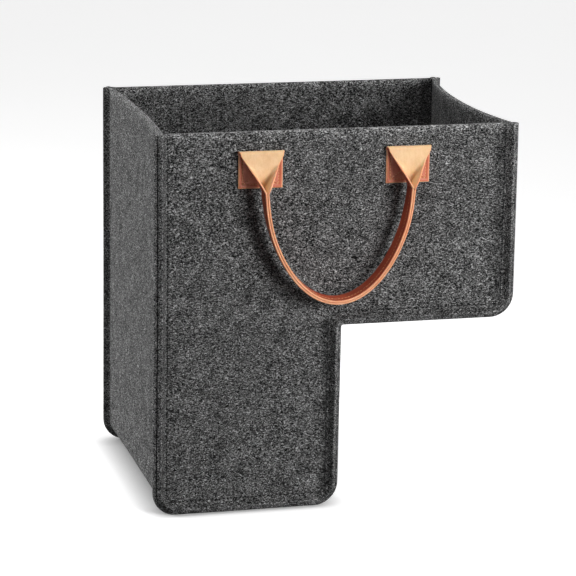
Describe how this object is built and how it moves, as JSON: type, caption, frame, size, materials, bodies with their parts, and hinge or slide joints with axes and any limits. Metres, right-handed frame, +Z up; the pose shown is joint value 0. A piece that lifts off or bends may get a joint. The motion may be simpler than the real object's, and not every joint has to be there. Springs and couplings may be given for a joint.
{
  "type": "stair basket",
  "caption": "L-shaped felt bin that stands on two stair treads at once, open at the top, with a hanging doubled leather handle on each face.",
  "frame": {"origin": "middle of the bounding box on the lower tread", "axes": "+X from the leg side to the step side, -Y to the front face, +Z up"},
  "size_m": [0.3838, 0.328, 0.4],
  "materials": {
    "felt": "heathered charcoal felt, raw edges",
    "leather_grain": "smooth saddle brown grain side",
    "leather_flesh": "pale tan flesh side, matt"
  },
  "bodies": {
    "bin": {"front_panel": "felt", "back_panel": "felt", "gusset": "felt", "front_tab_leg_end": "leather_grain", "front_tab_step_end": "leather_grain", "back_tab_leg_end": "leather_grain", "back_tab_step_end": "leather_grain"},
    "front_handle": {"front_strap": "leather_grain", "front_flap_leg_end": "leather_flesh", "front_flap_step_end": "leather_flesh"},
    "back_handle": {"back_strap": "leather_grain", "back_flap_leg_end": "leather_flesh", "back_flap_step_end": "leather_flesh"}
  },
  "joints": [
    {"name": "front_handle_swing", "type": "hinge", "parent": "bin", "child": "front_handle", "pos_m": [-0.005, -0.14075, 0.37655], "axis": [-1, 0, 0], "range_deg": [0, 178], "deforming": ["front_flap_leg_end", "front_flap_step_end"]},
    {"name": "back_handle_swing", "type": "hinge", "parent": "bin", "child": "back_handle", "pos_m": [-0.005, 0.14075, 0.37655], "axis": [1, 0, 0], "range_deg": [0, 178], "deforming": ["back_flap_leg_end", "back_flap_step_end"]}
  ]
}
